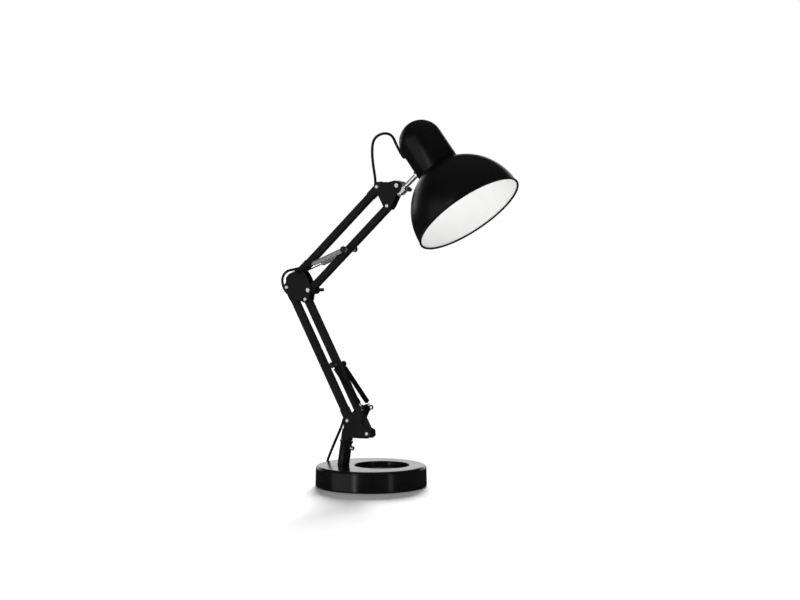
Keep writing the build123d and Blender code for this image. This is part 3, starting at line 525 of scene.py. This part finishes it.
shade_sides, cup_sides, gland_sides, bowl_steps = 160, 128, 20, 48
neck_radius = 20.3
bead_cover = 1.3            # the bead takes over this far from the rim
bowl_depth = shade_rim_at - cup_length
outside = bowl(shade_radius, shade_height, bowl_depth - 0.6, bowl_steps)
inside = bowl(shade_radius - shade_wall, shade_height - shade_wall, bowl_depth - 1.4,
              bowl_steps)
bead_middle = (shade_radius - shade_wall / 2, shade_rim_at)
profile = [(neck_radius, cup_length), (outside[-1][0] - 1.2, cup_length), *reversed(outside)]
bead = [(bead_middle[0] + shade_bead * cos(radians(a)),
         bead_middle[1] + shade_bead * sin(radians(a)))
        for a in (-60, -30, 0, 30, 60, 90, 120, 150, 180, 205, 235)]
profile = [p for p in profile if p[1] < shade_rim_at - bead_cover] + bead
outer_count = len(profile)
profile += [p for p in inside if p[1] < shade_rim_at - bead_cover]
profile.append((neck_radius, cup_length + 1.4))
rings = lathe_rings(head_origin, face_way, profile, shade_sides)
points, faces = skin(rings, loop=True)
bands = [i // shade_sides for i in range(len(faces))]
indices = [0 if band < outer_count - 2 or band == len(rings) - 1 else 1 for band in bands]
finish_mesh("shade_bell", points, faces, [shade_black, white_enamel], "head", "shade_black",
            ["shade"], sharp=50, indices=indices)



def dome(radius):
    """The outline of a dome, from near its top to its foot."""
    return [(radius * sin(radians(a)), -radius * cos(radians(a))) for a in range(3, 91, 3)]


cup_inside = cup_radius - cup_wall
profile = [*dome(cup_radius), (cup_radius, 15.0), (cup_radius, cup_length - 1.2),
           (cup_radius - 0.3, cup_length - 0.3), (cup_radius - 0.6, cup_length),
           (cup_inside, cup_length - 0.3), *reversed(dome(cup_inside))]
points, faces = skin(lathe_rings(head_origin, face_way, profile, cup_sides), cap_start=True,
                     cap_end=True)
finish_mesh("socket_cover", points, faces, [shade_black], "head", "shade_black", ["socket_cup"],
            sharp=50)


gland_route = [gland_start, step(gland_end, shade_turn, -gland_radius - 1.5),
               step(gland_end, shade_turn, -gland_radius),
               step(step(gland_end, shade_turn, -gland_radius + 0.4), shade_turn + 90, 1.4),
               step(step(gland_end, shade_turn, -gland_radius + 0.4), shade_turn + 90, 3.4)]
gland_line = nurbs_line([in_arm(p) for p in gland_route])
gland_taper, ripple_height, ripples = 0.25, 0.12, 9


def gland_rim(t):
    """The gland's radius at the share t of its length."""
    return gland_radius - gland_taper * (1 - t) + ripple_height * sin(2 * pi * ripples * t)


points, faces = skin(tube_rings(gland_line, gland_rim, gland_sides), cap_start=True, cap_end=True)
finish_mesh("cord_elbow", points, faces, [black_plastic], "head", "black_plastic", ["cord_gland"],
            sharp=60)


# ---------- knobs and springs ----------
def knobs(name, point, body, node):
    """Two ribbed knobs, one on each end of a spring pin."""
    points, faces = [], []
    knob_sides = 96
    for side in (-1, 1):
        axis = Vector((0, side, 0))
        start = Vector(in_arm(point, side * (pin_reach - knob_height)))
        profile = [(1.2, 0), (knob_radius - 0.6, 0), (knob_radius, 0.5), (knob_radius, 1.2),
                   (knob_radius, 2.4), (knob_radius - 0.25, 2.75), (knob_radius - 0.9, knob_height),
                   (1.0, knob_height)]
        more, quads = skin(lathe_rings(start, axis, profile, knob_sides, ribs=16, rib_depth=0.45),
                           cap_start=True, cap_end=True)
        faces += [tuple(i + len(points) for i in face) for face in quads]
        points += more
    finish_mesh(name, points, faces, [black_plastic], body, "black_plastic", [node], sharp=50)


knobs("lower_knobs", lower_pin, "lower_right_arm", "lower_spring_knobs")
knobs("upper_knobs", upper_pin, "upper_right_arm", "upper_spring_knobs")


def spring_line(pin, hook, side, hook_radius, radius, body, wire, pitch):
    """The wire of a tension spring: an eye on the pin, close turns, and an eye on the hook.

    Also gives the place in the line at which the turns end.
    """
    start, end = Vector(in_arm(pin, side)), Vector(in_arm(hook, side))
    way = (end - start).normalized()
    length = (end - start).length
    out = Vector((0, 1, 0))
    up = way.cross(out)
    eye = pin_radius + wire
    line = [start + (way * cos(radians(a)) + up * sin(radians(a))) * eye
            for a in range(300, 5, -20)]
    line += [start + way * (eye + (spring_lead_in - eye - 0.6) * t) for t in (0.4, 0.9)]
    per_turn = 16
    ramp = 0.6 * per_turn       # points over which the turns widen from the axis and back
    total = int(body / pitch) * per_turn
    for i in range(total + 1):
        a = 2 * pi * i / per_turn
        grow = min(1.0, (i + 3) / ramp, (total - i + 3) / ramp)
        line.append(start + way * (spring_lead_in + body * i / total)
                    + (up * cos(a) + out * sin(a)) * (radius - wire) * grow)
    turns_end = len(line)
    eye = hook_radius + wire
    last = spring_lead_in + body
    line += [start + way * (last + (length - eye - last) * t) for t in (0.1, 0.5, 0.95)]
    line += [end - (way * cos(radians(a)) - up * sin(radians(a))) * eye
             for a in range(10, 300, 20)]
    return line, turns_end


def springs(name, pin, hook, hook_radius, radius, body, wire, pitch, paints, slot, node):
    """A pair of springs; the wire past the turns has the second paint."""
    points, faces, indices = [], [], []
    sides = 8
    for side in (-spring_side, spring_side):
        line, turns_end = spring_line(pin, hook, side, hook_radius, radius, body, wire, pitch)
        more, quads = skin(tube_rings(line, wire, sides), cap_start=True, cap_end=True)
        faces += [tuple(i + len(points) for i in face) for face in quads]
        points += more
        walls = sides * (len(line) - 1)
        indices += [1 if turns_end * sides <= i < walls or i >= walls + sides else 0
                    for i in range(len(quads))]
    thing = finish_mesh(name, points, faces, paints, None, slot, [node], sharp=70, indices=indices)
    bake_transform(thing)


springs("lower_spring_wires", lower_pin, lower_hook, 1.3, lower_spring_radius, lower_spring_body,
        0.7, 1.42, [spring_black, spring_steel], "spring_black",
        "lower_springs")
springs("upper_spring_wires", upper_pin, pivot_c0, 2.0, upper_spring_radius, upper_spring_body,
        0.9, 1.95, [spring_steel, spring_black], "spring_steel",
        "upper_springs")


# ---------- rounded edges on the CAD's own pieces ----------
edge_angle = 40.0           # flatter edges stay as they are


def soften(width, *nodes):
    for node in nodes:
        thing = frame["nodes"][node]
        bevel = thing.modifiers.new("edges", "BEVEL")
        bevel.width = width * MM
        bevel.segments = 2
        bevel.limit_method = "ANGLE"
        bevel.angle_limit = radians(edge_angle)
        bevel.harden_normals = True


soften(0.3, "base_bracket_near", "base_bracket_far", "elbow_plate_near", "elbow_plate_far",
       "head_plate_near", "head_plate_far", "lower_spring_hooks", "rod_collars_and_nuts",
       "swivel_spigot", "lead_tie", "switch_case_top", "switch_case_bottom", "switch_rocker")
soften(0.5, "elbow_wing_nut", "tilt_wing_nut", "plug_body", "tilt_knuckle", "base_pad")

# ---------- floor and light ----------
floor_mesh = bpy.data.meshes.new("floor")
reach, floor_drop = 60.0, 0.1 * MM
corners = [(-reach, -reach, 0), (reach, -reach, 0), (reach, reach, 0), (-reach, reach, 0)]
floor_mesh.from_pydata(corners, [], [(0, 1, 2, 3)])
floor = bpy.data.objects.new("floor", floor_mesh)
floor.location.z = -floor_drop
floor.visible_glossy = False
floor.visible_shadow = False
scene.collection.objects.link(floor)
floor_mesh.materials.append(material("floor_white", (0.92, 0.92, 0.92), roughness=0.7, specular=0.0,
                                     grain=4.0, bump=0.02, tint=0.01))

# Directions on the table, seen from the camera.
turn = radians(base_turn)
backwards = Vector((-sin(turn), cos(turn), 0))
leftwards = Vector((-cos(turn), -sin(turn), 0))
upwards = Vector((0, 0, 1))

# The studio is white to the eye and an even soft light to matt paint. What gloss and chrome see is
# dark, with a low white wall behind the lamp, a paler one on the left and a dim ceiling.
world = bpy.data.worlds.new("studio")
world.use_nodes = True
nodes, links = world.node_tree.nodes, world.node_tree.links
sky_place = nodes.new("ShaderNodeTexCoord")


def linked(kind, operation, *inputs):
    """A math node of one operation; each input is a number, a vector or another node's output."""
    node = nodes.new(kind)
    node.operation = operation
    for socket, value in zip(node.inputs, inputs):
        if isinstance(value, bpy.types.NodeSocket):
            links.new(value, socket)
        else:
            socket.default_value = value
    return node.outputs["Value"]


def towards(way):
    return linked("ShaderNodeVectorMath", "DOT_PRODUCT", sky_place.outputs["Generated"], way)


def fade(value, first, last):
    """Runs smoothly from 0 to 1 while value runs from first to last."""
    node = nodes.new("ShaderNodeMapRange")
    node.interpolation_type = "SMOOTHSTEP"
    links.new(value, node.inputs["Value"])
    node.inputs["From Min"].default_value = first
    node.inputs["From Max"].default_value = last
    return node.outputs["Result"]


def times(*values):
    product = values[0]
    for value in values[1:]:
        product = linked("ShaderNodeMath", "MULTIPLY", product, value)
    return product


def plus(*values):
    total = values[0]
    for value in values[1:]:
        total = linked("ShaderNodeMath", "ADD", total, value)
    return total


back_level, left_level, ceiling_level, dark_level, matt_level = 1.3, 0.6, 0.1, 0.02, 0.2
back, left, up = towards(backwards), towards(leftwards), towards(upwards)
back_wall = times(fade(back, 0.5, 0.85), fade(up, -0.01, 0.05), fade(up, 0.45, 0.22), back_level)
left_wall = times(fade(left, 0.3, 0.6), fade(back, -0.85, -0.65), fade(back, 0.05, -0.2),
                  fade(up, -0.5, -0.2), fade(up, 0.4, 0.15), left_level)
ceiling = times(fade(up, 0.5, 0.95), ceiling_level)
seen_by_gloss = plus(back_wall, left_wall, ceiling, dark_level)
rays = nodes.new("ShaderNodeLightPath")
not_gloss = linked("ShaderNodeMath", "SUBTRACT", 1.0, rays.outputs["Is Glossy Ray"])
not_camera = linked("ShaderNodeMath", "SUBTRACT", 1.0, rays.outputs["Is Camera Ray"])
level = plus(times(not_camera, not_gloss, matt_level),
             times(rays.outputs["Is Glossy Ray"], seen_by_gloss), rays.outputs["Is Camera Ray"])
links.new(level, nodes["Background"].inputs["Strength"])
nodes["Background"].inputs["Color"].default_value = (1, 1, 1, 1)
scene.world = world
scene.view_settings.view_transform = "Standard"


def place_light(name, kind, energy, place, target=(0, 0, 0.2)):
    """A light at a place that faces the target; a sun only takes its direction from them."""
    light = bpy.data.lights.new(name, kind)
    light.energy = energy
    thing = bpy.data.objects.new(name, light)
    thing.location = place
    thing.rotation_euler = (Vector(target) - Vector(place)).to_track_quat("-Z", "Y").to_euler()
    scene.collection.objects.link(thing)
    return thing


def strip(name, azimuth, distance, width, low, high, energy):
    """A tall soft light, azimuth degrees to the left of the camera."""
    way, middle = radians(azimuth), (low + high) / 2
    place = (leftwards * sin(way) - backwards * cos(way)) * distance + upwards * middle
    thing = place_light(name, "AREA", energy, place, (0, 0, middle))
    thing.data.shape = "RECTANGLE"
    thing.data.size, thing.data.size_y = width, high - low


sun = place_light("back_light", "SUN", 8.8, backwards + upwards * 0.57 + leftwards * -0.05)
sun.data.angle = radians(24)
sun.visible_glossy = False
shade_light = place_light("shade_light", "AREA", 2.8, (0.9, -0.6, 0.1), (0.14, 0, 0.38))
shade_light.data.size = 0.5
shade_light.visible_glossy = False
front_light = place_light("front_light", "AREA", 12.0,
                          leftwards * 1.5 - backwards * 2.0 + upwards * 0.5)
front_light.data.size = 0.6
front_light.visible_glossy = False
strip("left_strip", azimuth=33.0, distance=1.6, width=0.16, low=-0.6, high=1.0, energy=3.2)
strip("right_strip", azimuth=-41.0, distance=1.8, width=0.16, low=-0.6, high=0.8, energy=1.2)
